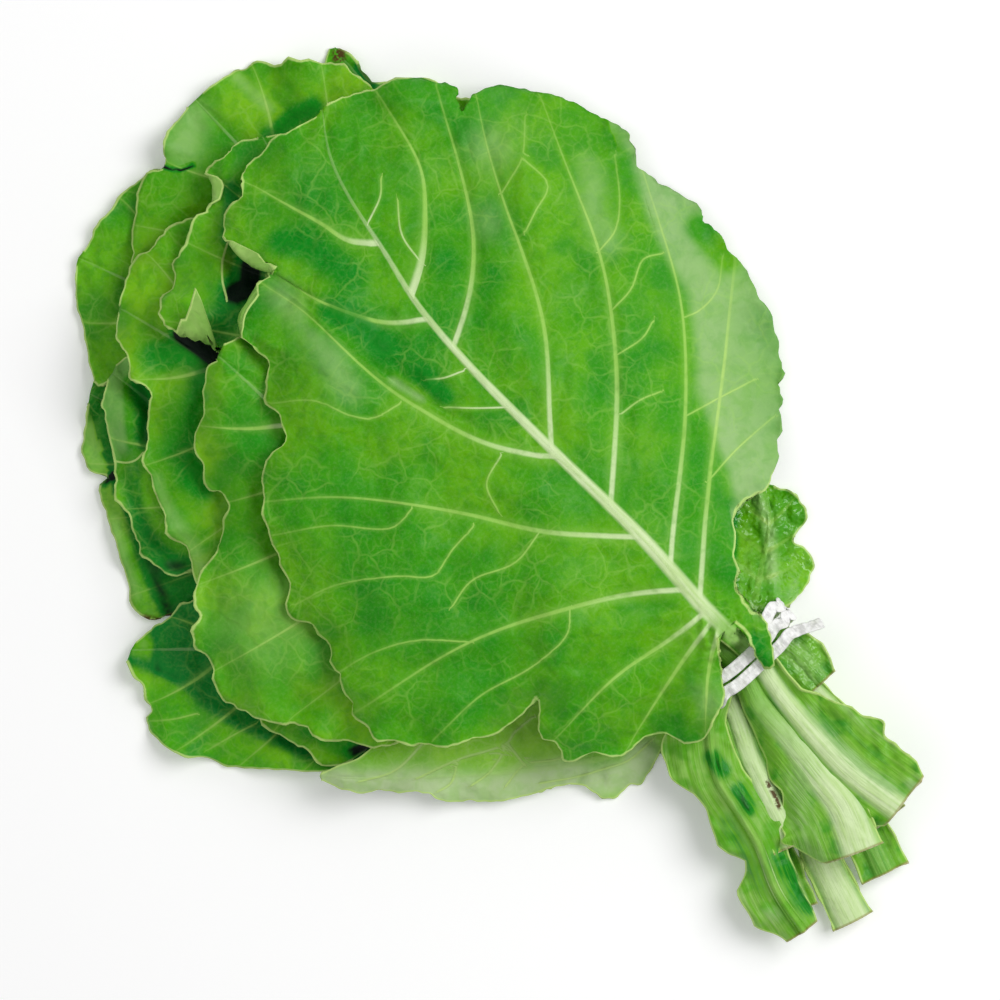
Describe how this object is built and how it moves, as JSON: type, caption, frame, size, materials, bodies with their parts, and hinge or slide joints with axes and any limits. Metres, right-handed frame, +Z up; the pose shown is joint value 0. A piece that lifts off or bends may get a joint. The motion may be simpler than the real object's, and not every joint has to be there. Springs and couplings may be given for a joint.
{
  "type": "bunch of collard greens",
  "caption": "Tied bunch of broad collard green leaves lying on its side, stems bound with a flat ribbon tie and fanned out to their cut ends.",
  "frame": {"origin": "middle of the base of the bunch's bounding box, on the surface it lies on", "axes": "+Y from the cut stem ends towards the leaf tips, +X to the right seen from above, +Z up"},
  "size_m": [0.283, 0.3926, 0.0626],
  "materials": {
    "leaf_green": "satin",
    "young_leaf_green": "satin",
    "outer_leaf_green": "satin",
    "leaf_underside": "matte",
    "tie_white": "satin"
  },
  "bodies": {
    "root": {"narrow_leaf": "outer_leaf_green", "lower_leaf": "leaf_green", "outer_leaf": "leaf_green", "back_leaf": "leaf_green", "looped_leaf": "leaf_green", "tip_leaf": "young_leaf_green", "upper_leaf": "leaf_green", "curled_leaf": "leaf_green", "wrapping_leaf": "leaf_underside", "left_leaf": "young_leaf_green", "small_leaf": "leaf_green", "front_leaf": "leaf_green", "twist_tie": "tie_white"}
  },
  "joints": []
}
